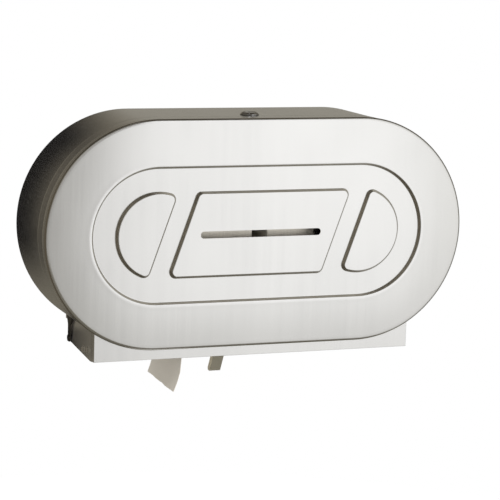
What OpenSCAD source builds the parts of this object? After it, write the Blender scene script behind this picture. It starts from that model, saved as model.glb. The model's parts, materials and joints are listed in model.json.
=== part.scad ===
// Twin jumbo-roll tissue dispenser for a wall.
// Every piece is drawn with the dispenser lying on its back: x runs along the wall,
// y runs up the wall and z runs out from the wall. on_wall() then stands it up, so that
// +Z is up and the cover's face looks along -Y. The origin lies on the wall, at the
// centre of the four wall holes and of the cover's obround outline. Sizes are millimetres.

/* [Cover] */
// Width of the cover over its round ends
cover_w = 528; // [522:1:548]
// Height of the cover
cover_h = 272; // [266:1:284]
// Distance from the wall to the cover's face
cover_d = 135; // [133:1:150]
// Thickness of the cover's sheet
cover_t = 1; // [0.8:0.1:1.4]
// Outer radius of the bend between skirt and face
rim_r = 4; // [2:0.5:6]
// Gap between the skirt's rear edge and the wall
skirt_wall_gap = 1; // [0.5:0.25:3]
// Gap between the lip under the face and the chute's apron
lip_gap = 2; // [1.6:0.2:3]

/* [Face pressing] */
// Height of the pressed ring over its outer edge
ring_h = 163; // [150:1:180]
// Depth of the pressed ring below the face
ring_depth = 3.5; // [2:0.25:5]
// Width of the ring's sloping wall, seen from the front
ring_wall = 2.5; // [1.5:0.25:4]
// Height of the raised fields above the ring's floor
field_h = 4.5; // [3:0.25:5]
// Width of the raised fields' sloping walls, seen from the front
field_wall = 3; // [2:0.25:4]
// Radius of the raised fields' corners
field_corner_r = 7; // [5:0.5:9]
// Width of the middle field, measured half way up
middle_w = 194; // [184:1:204]
// Height of the middle field
middle_h = 100; // [90:1:104]
// Slant of the middle field's ends, in degrees
field_slant = 19.4; // [10:0.2:22]
// Radius of the half-moon fields
moon_r = 51; // [45:1:56]
// Width of the groove between the middle field and a half-moon field
groove_w = 25.7; // [20:0.1:30]
// Length of the sight slot
slot_w = 153; // [120:1:160]
// Height of the sight slot
slot_h = 8.4; // [6:0.2:12]

/* [Back plate] */
// Thickness of the back plate
base_t = 1; // [0.8:0.1:1.5]
// Gap between the back plate's rim and the skirt
base_gap = 2.5; // [2:0.1:4]
// Depth of the back plate's turned-up rim
base_rim_d = 12; // [8:0.5:12.5]
// Radius of the wall holes
wall_hole_r = 3.25; // [2.5:0.25:4.5]
// Distance between the wall holes along the wall
wall_hole_w = 406; // [396:1:416]
// Distance between the wall holes up the wall
wall_hole_h = 152; // [140:1:160]

/* [Chute] */
// Distance from the centres of the cover's round ends to the side plates' outer faces
chute_reach = 72.5; // [69:0.5:74.5]
// Thickness of the chute's sheet
chute_t = 0.8; // [0.6:0.1:1.2]
// Distance of the apron behind the cover's face
apron_setback = 11; // [10:0.5:13]
// Distance that the apron hangs below the cover
apron_drop = 13.5; // [12:0.25:16]
// Width of the apron's returns on the side plates
return_w = 13; // [8:0.5:16]
// Depth of the apron's lower hem
hem_w = 7; // [4:0.5:9]
// Distance between the wall and the side plates' rear edge
side_rear_gap = 12; // [9:0.5:12.5]
// Distance that the side plates hang below the cover at the rear
side_rear_drop = 8.3; // [7.5:0.1:10]
// Distance that the side plates hang below the cover near the front
side_front_drop = 15.7; // [14:0.1:17]
// Width of the flanges that hold the side plates to the back plate
side_flange_w = 20; // [18:0.5:24]

/* [Access panel] */
// Thickness of the access panel
panel_t = 0.8; // [0.6:0.1:1.2]
// Width of the open exit beside the panel
exit_w = 110; // [100:0.2:130]
// Height of the rails above the apron's lower edge
rail_rise = 7.3; // [6:0.1:9]
// Depth of the rails' lips
rail_lip = 5.4; // [4:0.2:6]
// Gap between the rear rail's ends and the side plates
rear_rail_gap = 5.7; // [5:0.1:12]
// Width of the tear strips
tear_w = 12; // [9:0.5:16]
// Thickness of the tear strips
tear_t = 0.6; // [0.4:0.1:0.8]
// Height of the tear strips' teeth
tooth_h = 2.5; // [1.5:0.25:3.5]
// Distance from tooth to tooth
tooth_pitch = 4; // [3:0.25:6]

/* [Pull tab] */
// Distance from the panel's end to the pull tab
tab_inset = 39; // [18:0.5:44]
// Width of the pull tab
tab_w = 14; // [13:0.5:20]
// Length that the pull tab hangs below the panel
tab_drop = 32.2; // [20:0.2:34]
// Depth of the pull tab's folded sides
tab_depth = 8; // [5:0.5:10]
// Thickness of the pull tab's sheet
tab_t = 1; // [0.8:0.1:1.5]
// Angle that the pull tab leans towards the wall, in degrees
tab_lean = 29; // [10:1:32]

/* [Hinge] */
// Distance of the hinge axis from the wall
hinge_out = 25; // [24:0.5:27]
// Distance of the hinge axis below the cover
hinge_drop = 4; // [3.5:0.1:5]
// Radius of the hinge pins
hinge_pin_r = 2; // [1.5:0.1:2.5]
// Thickness of the hinge arms
arm_t = 1.5; // [1.2:0.1:2]
// Radius of the hinge arms' round ends
arm_end_r = 4.8; // [4.2:0.1:5.5]
// Thickness of the washers between side plate and arm
hinge_washer_t = 1.5; // [1:0.1:2]

/* [Lock] */
// Distance of the lock from the wall
lock_out = 85; // [66:1:88]
// Radius of the lock's head
lock_head_r = 11.6; // [10.2:0.2:13]
// Height of the lock's head above the skirt
lock_head_h = 3.6; // [2.5:0.1:5]
// Radius of the lock's barrel
lock_barrel_r = 9.5; // [8.5:0.1:9.9]
// Length of the lock's barrel inside the cover
lock_barrel_l = 21; // [18:0.5:21]
// Radius of the lock's plug
lock_plug_r = 6.4; // [5:0.1:7]
// Length of the cam from the lock's axis
cam_l = 28; // [22:0.5:30]
// Width of the cam
cam_w = 12; // [10:0.5:14]
// Thickness of the cam
cam_t = 2; // [1.5:0.1:2.5]
// Thickness of the keeper bracket's sheet
keeper_t = 1.5; // [1.2:0.1:2]
// Width of the keeper bracket
keeper_w = 20; // [16:0.5:24]

/* [Spindles] */
// Radius of the spindle posts
post_r = 6; // [5:0.25:7]
// Distance of each post from the centre of the cover's round end, towards the middle
spindle_inset = 10; // [6:0.5:13]
// Length of the posts in front of the hub discs
post_stub = 3.2; // [3:0.1:6]
// Radius of the spindle bases
spindle_base_r = 30; // [27:0.5:34]
// Thickness of the spindle bases' flanges
spindle_base_t = 5; // [4:0.25:6]
// Distance from the wall to the front of the spindle bases' bosses
boss_out = 13; // [11:0.5:14]
// Radius of the core hubs
hub_r = 37.7; // [36:0.1:37.7]
// Wall of the core hubs
hub_wall = 2.2; // [1.6:0.1:3]
// Radius of the hub discs
disc_r = 41; // [40:0.5:46]
// Thickness of the hub discs
disc_t = 3; // [2:0.25:3.5]
// Radius of the spindle caps
cap_r = 9.5; // [8.5:0.25:12]

/* [Rolls] */
// Gap between the rolls' front ends and the chute's apron
roll_front_gap = 12.9; // [11:0.1:16]
// Gap between a full roll and the cover's skirt
roll_clear = 19; // [14:0.5:30]
// Gap between two full rolls
roll_apart = 2; // [1:0.5:10]
// How much smaller the right roll's radius is than a full roll's
right_roll_worn = 15; // [0:1:60]
// Inner radius of the cardboard cores
core_r = 38; // [38:0.1:39.5]
// Wall of the cardboard cores
core_wall = 2; // [1:0.25:3]
// Thickness of the drawn tissue tail
tail_t = 0.6; // [0.4:0.1:1]
// Length of the tail below the panel at its front edge
tail_front_drop = 51.5; // [35:0.5:52]
// Length of the tail below the panel at its rear edge
tail_rear_drop = 48.5; // [30:0.5:51]
// Radius that the hanging tail curls to
curl_r = 115; // [100:5:300]

/* [Clearances] */
// Radial clearance of a pin or shaft in its bore
run_gap = 0.05; // [0.02:0.01:0.1]
// Gap between a piece and the seat it rests on or slides in
seat_gap = 0.3; // [0.2:0.05:0.4]

/* [Hidden] */
$fn = 96;

eps = 0.5;
over = 2;
left = -1;
right = 1;

satin_steel = [0.80, 0.79, 0.76];
dull_steel = [0.66, 0.65, 0.62];
bright_steel = [0.88, 0.88, 0.88];
black_plastic = [0.06, 0.06, 0.06];
black_rubber = [0.09, 0.09, 0.09];
white_nylon = [0.92, 0.91, 0.88];
tissue_white = [0.93, 0.91, 0.87];
card_brown = [0.62, 0.50, 0.36];

// Cover
cover_r = cover_h / 2;
end_x = (cover_w - cover_h) / 2;
spindle_x = end_x - spindle_inset;
skirt_in_r = cover_r - cover_t;
ring_r = ring_h / 2;
ring_floor_z = cover_d - ring_depth;
rim_steps = 8;

// A sloping wall of sheet keeps its thickness when its inner side is shifted by this much
function slope_shift(w, h, t) = t * (sqrt(w * w + h * h) - w) / h;
ring_shift = slope_shift(ring_wall, ring_depth, cover_t);
field_shift = slope_shift(field_wall, field_h, cover_t);

// How far a raised field's outer outline lies outside its half-way outline at height z
function field_grow(z) = field_wall / 2 - (z - ring_floor_z) * field_wall / field_h;

// Chute
side_x = end_x + chute_reach;
side_in_x = side_x - chute_t;
apron_z = cover_d - apron_setback;
apron_in_z = apron_z - chute_t;
apron_y = -(cover_r + apron_drop);
side_rear_y = -(cover_r + side_rear_drop);
side_front_y = -(cover_r + side_front_drop);
side_front_run = 17;
side_nose_rise = 2;
chute_lap = 28;
chute_top_y = -(cover_r - chute_lap);
flange_h = 12;
flange_y = chute_top_y - flange_h;
flange_rivet_inset = [9, 15.5];

// Rails and access panel
rail_y = apron_y + rail_rise;
panel_y = rail_y + chute_t + seat_gap;
panel_top_y = panel_y + panel_t;
rail_top_y = panel_top_y + seat_gap + chute_t;
panel_rear_z = base_t + chute_t + 2 * seat_gap;
panel_front_z = apron_in_z - chute_t - 2 * seat_gap;
front_rail_gap = 1.2;
stop_t = 3;
stop_x = side_in_x - stop_t;
panel_x1 = stop_x - seat_gap;
panel_x0 = -panel_x1 + exit_w;
panel_travel = exit_w;
tear_end_gap = 8;

// Stop blocks and their rivets, along the slope of the side plates' lower edge
stop_rear = [-(cover_r + 7.3), 75.7];
stop_front = [-(cover_r + 4.5), 94.3];
stop_half_h = 4.6;
stop_end = 6;
rivet_r = 1.6;
rivet_hole_r = rivet_r + run_gap;

// Back plate
base_r = skirt_in_r - base_gap;
base_rim_t = base_t;
base_rim_stop = 61;
base_rim_low_y = -(cover_r - base_rim_stop);
base_low_y = rail_y - 1;
rear_rail_x = side_in_x - rear_rail_gap;

// Hinge
hinge_y = -(cover_r + hinge_drop);
arm_x0 = side_x + hinge_washer_t;
arm_x1 = arm_x0 + arm_t;
cut_x = arm_x1 + 1;
lip_z = apron_z + lip_gap;
arm_strap_w = 2 * arm_end_r - 0.8;
pad_z0 = hinge_out - 9;
pad_z1 = hinge_out + 11;
pad_out_r = skirt_in_r - seat_gap;
pad_span = 6.2;
pad_a0 = -acos((arm_x1 - end_x) / pad_out_r);
pad_a1 = pad_a0 + pad_span;
pad_foot = [arm_x1, pad_out_r * sin(pad_a0)];
pad_tip = [end_x + pad_out_r * cos(pad_a1), pad_out_r * sin(pad_a1)];
pad_run = (pad_tip - pad_foot) / norm(pad_tip - pad_foot);
pad_in = [-pad_run[1], pad_run[0]] * arm_t;
pad_bend_y = pad_foot[1] + pad_in[1] - pad_run[1] * (arm_t + pad_in[0]) / pad_run[0];
arm_neck_y = pad_foot[1] - 12;
arm_shoulder_y = pad_foot[1] - 4;
clip_t = 0.8;
clip_x = arm_x1 + seat_gap;
hinge_pin_end_x = clip_x + clip_t + 0.6;
hinge_pin_head_t = 0.8;
hinge_pin_head_r = hinge_pin_r + 1.5;
clip_r = hinge_pin_r + 2;
washer_r = arm_end_r - 0.4;
shim_gap = seat_gap / 3;

// Lock
lock_barrel_low_y = cover_r - lock_barrel_l - cover_t;
cam_top_y = lock_barrel_low_y - 1;
cam_y = cam_top_y - cam_t;
cam_head_h = 2.2;
lock_nut_t = 3.6;
lock_nut_r = 13.4;
lock_dome = 0.8;
plug_top_y = cover_r + lock_head_h - 0.4;
key_slot = [1.8, 7.5, 3];
cam_screw_r = 1.5;
cam_screw_l = 7;
cam_screw_head_r = 3;
cam_screw_slot = [0.8, 0.9];
cam_eye_r = cam_w / 2 + 0.4;
keeper_x0 = 12;
keeper_x1 = keeper_x0 + keeper_w;
keeper_top_y = cam_y - cam_head_h - 2;
keeper_lip_z = lock_out + cam_w / 2 + 1;
keeper_lip_h = cam_t + cam_head_h + 7;
keeper_foot_h = 18;
keeper_rivet_y = keeper_top_y - 11;
keeper_rivet_inset = 5;

// Rivet heads, as radius and height, and how far the shanks end short of the far face
keeper_rivet_head = [3.2, 1.3];
chute_rivet_head = [2.7, 1.1];
stop_rivet_head = [4.5, 2.2];
shank_short = 0.1;
stop_shank_short = 0.4;

// Pull tab
tab_x0 = panel_x0 + tab_inset;
tab_x1 = tab_x0 + tab_w;
tab_top_z = apron_in_z - chute_t - rail_lip - 1.4;
tab_foot_l = 16;
tab_chamfer = tab_depth * 0.35;
tab_rivet_r = 1.4;
tab_rivet_x = [tab_x0 + 4, tab_x1 - 4];
tab_rivet_z = tab_top_z - 9;
tab_rivet_head = [2.6, 1.8, 1];

// Spindles
hub_z0 = boss_out + seat_gap;
hub_flange_t = 2.2;
hub_flange_r = core_r + core_wall + 4;
tissue_z0 = hub_z0 + hub_flange_t + seat_gap;
tissue_z1 = apron_in_z - roll_front_gap;
hub_z1 = tissue_z1 + 1.2;
hub_in_r = post_r + run_gap;
hub_in_wall = 3;
hub_rib_t = 2;
hub_ribs = 6;
hub_bore_r = hub_r - hub_wall;
disc_z0 = hub_z1 + seat_gap;
disc_z1 = disc_z0 + disc_t;
post_out = disc_z1 + post_stub;
disc_spigot_l = 6;
disc_hole_r = 6;
disc_holes = 3;
disc_hole_ring_r = 22;
disc_spigot_wall = 2;
cap_z0 = disc_z1 + seat_gap;
cap_cover_t = 2;
cap_bend_r = 1.6;
boss_r = 14;
spindle_screw_ring_r = 21.5;
spindle_screws_n = 3;
spindle_screw_r = 1.9;
spindle_screw_head_r = 3.8;
spindle_screw_head_h = 2.4;
screw_cross = [4.4, 0.9, 1.2];
screw_a0 = 90;
gusset_t = 2.4;
gusset_root = 2;
post_tenon_r = 4;
post_bevel = 1;

// Tissue
tissue_in_r = core_r + core_wall + seat_gap;
left_roll_r = min(skirt_in_r - roll_clear, spindle_x - roll_apart / 2);
right_roll_r = left_roll_r - right_roll_worn;
tail_x = panel_x0 - seat_gap - tail_t / 2;
tail_y = panel_top_y + tear_t;
tail_reach = left_roll_r + seat_gap + tail_t / 2;
tail_dx = tail_x + spindle_x;
tail_dist = sqrt(pow(tail_dx, 2) + pow(tail_y, 2));
tail_off_a = atan2(tail_y, tail_dx) + acos(tail_reach / tail_dist);
tail_end_a = asin((tail_y - panel_y + tail_front_drop + over) / curl_r);
curl_steps = 10;

// ---- Helpers ----

// Stands a piece drawn lying on its back up against the wall
module on_wall() {
  rotate([90, 0, 0]) children();
}

// Mirrors a right-hand piece to the left
module on_side(side) {
  mirror([side < 0 ? 1 : 0, 0, 0]) children();
}

// Box between two corners
module slab(x, y, z) {
  translate([x[0], y[0], z[0]]) cube([x[1] - x[0], y[1] - y[0], z[1] - z[0]]);
}

// Rods along the three axes
module rod_x(r, y, z, x) {
  translate([x[0], y, z]) rotate([0, 90, 0]) cylinder(r = r, h = x[1] - x[0]);
}

module rod_y(r, x, z, y) {
  translate([x, y[0], z]) rotate([-90, 0, 0]) cylinder(r = r, h = y[1] - y[0]);
}

module rod_z(r, x, y, z) {
  translate([x, y, z[0]]) cylinder(r = r, h = z[1] - z[0]);
}

// Ring round the z axis
module ring_z(r_in, r_out, z) {
  difference() {
    rod_z(r_out, 0, 0, z);
    rod_z(r_in, 0, 0, [z[0] - over, z[1] + over]);
  }
}

// Plate whose outline is given as [y, z] points, between two x values
module plate_x(points, x) {
  translate([x[0], 0, 0]) rotate([90, 0, 90]) linear_extrude(x[1] - x[0]) polygon(points);
}

// Points of an arc
function arc(cx, cy, r, a0, a1, n) = [
  for (i = [0:n]) [cx + r * cos(a0 + (a1 - a0) * i / n), cy + r * sin(a0 + (a1 - a0) * i / n)]
];

// Dome-headed rivet along z: its head stands on z = 0 and its shank goes down from there
module dome_rivet(head, shank_r, shank_l) {
  head_r = head[0];
  head_h = head[1];
  sphere_r = (head_r * head_r + head_h * head_h) / (2 * head_h);
  edge_a = asin(head_r / sphere_r);
  rotate_extrude() {
    polygon(concat(
      [[0, -shank_l], [shank_r, -shank_l], [shank_r, 0]],
      arc(0, head_h - sphere_r, sphere_r, 90 - edge_a, 90, 8)
    ));
  }
}

// Sweeps a section round an obround path. The section's x is the distance from the
// path's middle line and its y is the height above the wall.
module obround_sweep(half) {
  for (side = [left, right]) {
    translate([side * half, 0, 0]) rotate([0, 0, -side * 90]) rotate_extrude(angle = 180) children();
    translate([-half, 0, 0]) rotate([90, 0, 90]) linear_extrude(2 * half)
      mirror([side < 0 ? 1 : 0, 0]) children();
  }
}

// ---- Cover ----

cover_section = concat(
  [[cover_r, skirt_wall_gap]],
  arc(cover_r - rim_r, cover_d - rim_r, rim_r, 0, 90, rim_steps),
  [
    [ring_r, cover_d],
    [ring_r - ring_wall, ring_floor_z],
    [0, ring_floor_z],
    [0, ring_floor_z - cover_t],
    [ring_r - ring_wall + ring_shift, ring_floor_z - cover_t],
    [ring_r + ring_shift, cover_d - cover_t]
  ],
  arc(cover_r - rim_r, cover_d - rim_r, rim_r - cover_t, 90, 0, rim_steps),
  [[skirt_in_r, skirt_wall_gap]]
);

// Raised middle field: a slanted parallelogram with round corners and sloping walls.
// grow is how far its outline lies outside the half-way outline at each of the z values.
module middle_field(z, grow) {
  corner_y = middle_h / 2 - field_corner_r;
  corner_x = middle_w / 2 - field_corner_r / cos(field_slant);
  hull() {
    for (sx = [-1, 1])
      for (sy = [-1, 1])
        translate([sx * corner_x + sy * corner_y * tan(field_slant), sy * corner_y, z[0]])
          cylinder(r1 = field_corner_r + grow[0], r2 = field_corner_r + grow[1], h = z[1] - z[0], $fn = 48);
  }
}

// Raised half-moon field at the left end, its flat side parallel to the middle field's end
module moon_field(z, grow) {
  flat_x = (end_x - middle_w / 2 - groove_w) * cos(field_slant);
  corner_x = flat_x - field_corner_r;
  corner_y = sqrt(pow(moon_r - field_corner_r, 2) - pow(corner_x, 2));
  translate([-end_x, 0, 0]) rotate([0, 0, -field_slant]) hull() {
    intersection() {
      translate([0, 0, z[0]])
        cylinder(r1 = moon_r + grow[0], r2 = moon_r + grow[1], h = z[1] - z[0], $fn = 128);
      slab([-2 * moon_r, corner_x - 1], [-2 * moon_r, 2 * moon_r], [z[0] - over, z[1] + over]);
    }
    for (side = [-1, 1])
      translate([corner_x, side * corner_y, z[0]])
        cylinder(r1 = field_corner_r + grow[0], r2 = field_corner_r + grow[1], h = z[1] - z[0], $fn = 48);
  }
}

module all_fields(z, grow) {
  middle_field(z, grow);
  moon_field(z, grow);
  rotate([0, 0, 180]) moon_field(z, grow);
}

module cover() {
  top_z = ring_floor_z + field_h;
  root_z = ring_floor_z - cover_t / 2;
  under_z = ring_floor_z - cover_t - eps;
  slot_r = slot_h / 2;
  slot_x = slot_w / 2 - slot_r;
  color(satin_steel) on_wall() difference() {
    union() {
      obround_sweep(end_x) polygon(cover_section);
      all_fields([root_z, top_z], [field_grow(root_z), field_grow(top_z)]);
    }
    all_fields(
      [under_z, top_z - cover_t],
      [field_grow(under_z + cover_t) - field_shift, field_grow(top_z) - field_shift]
    );
    // sight slot
    translate([0, 0, ring_floor_z - over]) linear_extrude(field_h + 2 * over)
      polygon(concat(arc(slot_x, 0, slot_r, -90, 90, 12), arc(-slot_x, 0, slot_r, 90, 270, 12)));
    // opening in the skirt for the chute
    slab([-cut_x, cut_x], [-cover_r - over, chute_top_y + over], [-over, lip_z]);
    // lock hole
    rod_y(lock_barrel_r + shim_gap, 0, lock_out, [skirt_in_r - over, cover_r + over]);
  }
}

// ---- Hinge ----

module hinge_arm(side) {
  color(dull_steel) on_wall() on_side(side) difference() {
    intersection() {
      // the strip seen from the front: a straight arm bent out into a pad
      translate([0, 0, -over]) linear_extrude(pad_z1 + 2 * over) polygon([
        [arm_x0, hinge_y - arm_end_r - over],
        [arm_x1, hinge_y - arm_end_r - over],
        pad_foot,
        pad_tip,
        pad_tip + pad_in,
        [arm_x0, pad_bend_y]
      ]);
      // its outline seen from the side
      union() {
        rod_x(arm_end_r, hinge_y, hinge_out, [arm_x0 - over, pad_tip[0] + over]);
        plate_x([
          [hinge_y, hinge_out - arm_strap_w / 2],
          [hinge_y, hinge_out + arm_strap_w / 2],
          [arm_neck_y, hinge_out + arm_strap_w / 2],
          [arm_shoulder_y, pad_z1],
          [pad_tip[1] + arm_t + over, pad_z1],
          [pad_tip[1] + arm_t + over, pad_z0],
          [arm_shoulder_y, pad_z0],
          [arm_neck_y, hinge_out - arm_strap_w / 2]
        ], [arm_x0 - over, pad_tip[0] + over]);
      }
    }
    rod_x(hinge_pin_r + run_gap, hinge_y, hinge_out, [arm_x0 - over, arm_x1 + over]);
  }
}

module hinge_arm_left() {
  hinge_arm(left);
}

module hinge_arm_right() {
  hinge_arm(right);
}

module hinge_pins() {
  color(bright_steel) on_wall() for (side = [left, right]) on_side(side) {
    rod_x(hinge_pin_r, hinge_y, hinge_out, [side_in_x - eps, hinge_pin_end_x]);
    rod_x(hinge_pin_head_r, hinge_y, hinge_out, [side_in_x - hinge_pin_head_t, side_in_x]);
  }
}

// Flat ring round the hinge axis between two x values
module hinge_ring(r_in, r_out, x) {
  difference() {
    rod_x(r_out, hinge_y, hinge_out, x);
    rod_x(r_in, hinge_y, hinge_out, [x[0] - over, x[1] + over]);
  }
}

module hinge_washers() {
  color(white_nylon) on_wall() for (side = [left, right]) on_side(side)
    hinge_ring(hinge_pin_r + run_gap, washer_r, [side_x, arm_x0 - shim_gap]);
}

module hinge_clips() {
  color(bright_steel) on_wall() for (side = [left, right]) on_side(side)
    hinge_ring(hinge_pin_r + run_gap, clip_r, [clip_x, clip_x + clip_t]);
}

// ---- Lock ----

// Solid of revolution round the lock's axis: the section's x is the radius, its y the height
module lock_turned() {
  translate([0, 0, lock_out]) rotate([-90, 0, 0]) rotate_extrude() children();
}

module lock_housing() {
  bore_r = lock_plug_r + run_gap;
  head_y = cover_r + lock_head_h;
  color(bright_steel) on_wall() lock_turned() polygon(concat(
    [
      [bore_r, lock_barrel_low_y],
      [lock_barrel_r, lock_barrel_low_y],
      [lock_barrel_r, cover_r],
      [lock_head_r, cover_r]
    ],
    arc(lock_head_r - lock_dome, head_y - lock_dome, lock_dome, 0, 90, 4),
    [[bore_r, head_y]]
  ));
}

module lock_nut() {
  color(dull_steel) on_wall() difference() {
    translate([0, skirt_in_r - lock_nut_t, lock_out]) rotate([-90, 0, 0])
      cylinder(r = lock_nut_r, h = lock_nut_t, $fn = 6);
    rod_y(lock_barrel_r + run_gap, 0, lock_out, [skirt_in_r - lock_nut_t - over, skirt_in_r + over]);
  }
}

module lock_plug() {
  color(bright_steel) on_wall() difference() {
    rod_y(lock_plug_r, 0, lock_out, [cam_top_y, plug_top_y]);
    slab([-key_slot[0] / 2, key_slot[0] / 2], [plug_top_y - key_slot[2], plug_top_y + over],
      [lock_out - key_slot[1] / 2, lock_out + key_slot[1] / 2]);
    rod_y(cam_screw_r + run_gap, 0, lock_out, [cam_top_y - over, cam_top_y + cam_screw_l + 1]);
  }
}

module lock_cam() {
  color(dull_steel) on_wall() difference() {
    union() {
      rod_y(cam_eye_r, 0, lock_out, [cam_y, cam_top_y]);
      slab([-cam_w / 2, cam_w / 2], [cam_y, cam_top_y], [lock_out - cam_l, lock_out]);
    }
    rod_y(cam_screw_r + run_gap, 0, lock_out, [cam_y - over, cam_top_y + over]);
  }
}

module cam_screw() {
  color(dull_steel) on_wall() difference() {
    union() {
      rod_y(cam_screw_r, 0, lock_out, [cam_y - eps, cam_top_y + cam_screw_l]);
      rod_y(cam_screw_head_r, 0, lock_out, [cam_y - cam_head_h, cam_y]);
    }
    slab([-cam_screw_head_r, cam_screw_head_r],
      [cam_y - cam_head_h - over, cam_y - cam_head_h + cam_screw_slot[1]],
      [lock_out - cam_screw_slot[0] / 2, lock_out + cam_screw_slot[0] / 2]);
  }
}

module keeper_bracket() {
  arm_low_y = keeper_top_y - keeper_t;
  color(dull_steel) on_wall() difference() {
    union() {
      slab([keeper_x0, keeper_x1], [keeper_top_y - keeper_foot_h, keeper_top_y], [base_t, base_t + keeper_t]);
      slab([keeper_x0, keeper_x1], [arm_low_y, keeper_top_y], [base_t, keeper_lip_z + keeper_t]);
      slab([keeper_x0, keeper_x1], [arm_low_y, keeper_top_y + keeper_lip_h],
        [keeper_lip_z, keeper_lip_z + keeper_t]);
    }
    for (x = [keeper_x0 + keeper_rivet_inset, keeper_x1 - keeper_rivet_inset])
      rod_z(rivet_hole_r, x, keeper_rivet_y, [0, base_t + keeper_t + over]);
  }
}

module keeper_rivets() {
  color(bright_steel) on_wall()
    for (x = [keeper_x0 + keeper_rivet_inset, keeper_x1 - keeper_rivet_inset])
      translate([x, keeper_rivet_y, base_t + keeper_t])
        dome_rivet(keeper_rivet_head, rivet_r, base_t + keeper_t - shank_short);
}

// ---- Back plate and chute ----

module back_plate() {
  color(dull_steel) on_wall() difference() {
    union() {
      obround_sweep(end_x) polygon([
        [0, 0],
        [base_r, 0],
        [base_r, base_rim_d],
        [base_r - base_rim_t, base_rim_d],
        [base_r - base_rim_t, base_t],
        [0, base_t]
      ]);
      slab([-rear_rail_x, rear_rail_x], [base_low_y, base_rim_low_y - 5], [0, base_t]);
    }
    // the rim stops short of the chute
    slab([-cover_w, cover_w], [-cover_h, base_rim_low_y], [base_t, base_rim_d + over]);
    for (x = [-wall_hole_w / 2, wall_hole_w / 2])
      for (y = [-wall_hole_h / 2, wall_hole_h / 2])
        rod_z(wall_hole_r, x, y, [-over, base_t + over]);
    for (side = [left, right])
      translate([side * spindle_x, 0, 0]) {
        rod_z(post_tenon_r + run_gap, 0, 0, [-over, base_t + over]);
        spindle_screw_places() rod_z(spindle_screw_r + run_gap, 0, 0, [-over, base_t + over]);
      }
    for (x = [keeper_x0 + keeper_rivet_inset, keeper_x1 - keeper_rivet_inset])
      rod_z(rivet_hole_r, x, keeper_rivet_y, [-over, base_t + over]);
    chute_rivet_places() rod_z(rivet_hole_r, 0, 0, [-over, base_t + over]);
  }
}

// Places of the rivets that hold the side plates' flanges to the back plate
module chute_rivet_places() {
  for (side = [left, right])
    for (inset = flange_rivet_inset)
      translate([side * (side_x - inset), (chute_top_y + flange_y) / 2, 0]) children();
}

// Places of the stop blocks' rivets on the right side plate, with z pointing outwards
module stop_rivet_places() {
  for (p = [stop_rear, stop_front])
    translate([side_x, p[0], p[1]]) rotate([0, 90, 0]) children();
}

module chute_side(side) {
  color(satin_steel) on_wall() on_side(side) difference() {
    union() {
      plate_x([
        [chute_top_y, base_t],
        [flange_y, base_t],
        [flange_y, side_rear_gap],
        [side_rear_y, side_rear_gap],
        [side_front_y, apron_in_z - side_front_run],
        [side_front_y + side_nose_rise, apron_in_z],
        [chute_top_y, apron_in_z]
      ], [side_in_x, side_x]);
      slab([side_x - side_flange_w, side_in_x], [flange_y, chute_top_y], [base_t, base_t + chute_t]);
    }
    rod_x(hinge_pin_r + run_gap, hinge_y, hinge_out, [side_in_x - over, side_x + over]);
    stop_rivet_places() rod_z(rivet_hole_r, 0, 0, [-2 * over, over]);
    for (inset = flange_rivet_inset)
      rod_z(rivet_hole_r, side_x - inset, (chute_top_y + flange_y) / 2, [0, base_t + chute_t + over]);
  }
}

module chute_side_left() {
  chute_side(left);
}

module chute_side_right() {
  chute_side(right);
}

module chute_rivets() {
  color(bright_steel) on_wall() chute_rivet_places() translate([0, 0, base_t + chute_t])
    dome_rivet(chute_rivet_head, rivet_r, base_t + chute_t - shank_short);
}

module chute_apron() {
  out_x = side_x + chute_t;
  color(satin_steel) on_wall() {
    slab([-out_x, out_x], [apron_y, chute_top_y], [apron_in_z, apron_z]);
    for (side = [left, right]) on_side(side)
      slab([side_x, out_x], [apron_y, chute_top_y], [apron_z - return_w, apron_z]);
    slab([-side_in_x, side_in_x], [apron_y, apron_y + chute_t], [apron_in_z - hem_w, apron_z]);
  }
}

// Channel rail along x that opens along z; z gives its web's face, the web's inner side and
// the lips' edge
module rail(half_w, z) {
  slab([-half_w, half_w], [rail_y, rail_top_y], [min(z[0], z[1]), max(z[0], z[1])]);
  for (y = [rail_y, rail_top_y - chute_t])
    slab([-half_w, half_w], [y, y + chute_t], [min(z[0], z[2]), max(z[0], z[2])]);
}

module front_rail() {
  web_z = apron_in_z - chute_t;
  color(dull_steel) on_wall() rail(side_in_x - front_rail_gap, [apron_in_z, web_z, web_z - rail_lip]);
}

module rear_rail() {
  web_z = base_t + chute_t;
  color(dull_steel) on_wall() rail(rear_rail_x, [base_t, web_z, web_z + rail_lip]);
}

module stop_blocks() {
  run = (stop_front - stop_rear) / norm(stop_front - stop_rear);
  rear = stop_rear - run * stop_end;
  front = stop_front + run * stop_end;
  color(black_rubber) on_wall() for (side = [left, right]) on_side(side) difference() {
    plate_x([
      [rear[0] - stop_half_h, rear[1]],
      [front[0] - stop_half_h, front[1]],
      [front[0] + stop_half_h, front[1]],
      [rear[0] + stop_half_h, rear[1]]
    ], [stop_x, side_in_x]);
    stop_rivet_places() rod_z(rivet_hole_r, 0, 0, [-chute_t - stop_t - over, over]);
  }
}

module stop_rivets() {
  color(satin_steel) on_wall() for (side = [left, right]) on_side(side)
    stop_rivet_places() dome_rivet(stop_rivet_head, rivet_r, chute_t + stop_t - stop_shank_short);
}

// ---- Access panel ----

// One tear strip: its teeth point along -x and end at x = 0
module tear_strip() {
  z0 = panel_rear_z + tear_end_gap;
  teeth = floor((panel_front_z - tear_end_gap - z0) / tooth_pitch);
  translate([0, panel_top_y + tear_t, z0]) rotate([90, 0, 0]) linear_extrude(tear_t)
    polygon(concat(
      [[tear_w, 0], [tear_w, teeth * tooth_pitch]],
      [for (i = [teeth:-1:1]) each [[tooth_h, i * tooth_pitch], [0, (i - 0.5) * tooth_pitch]]],
      [[tooth_h, 0]]
    ));
}

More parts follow.
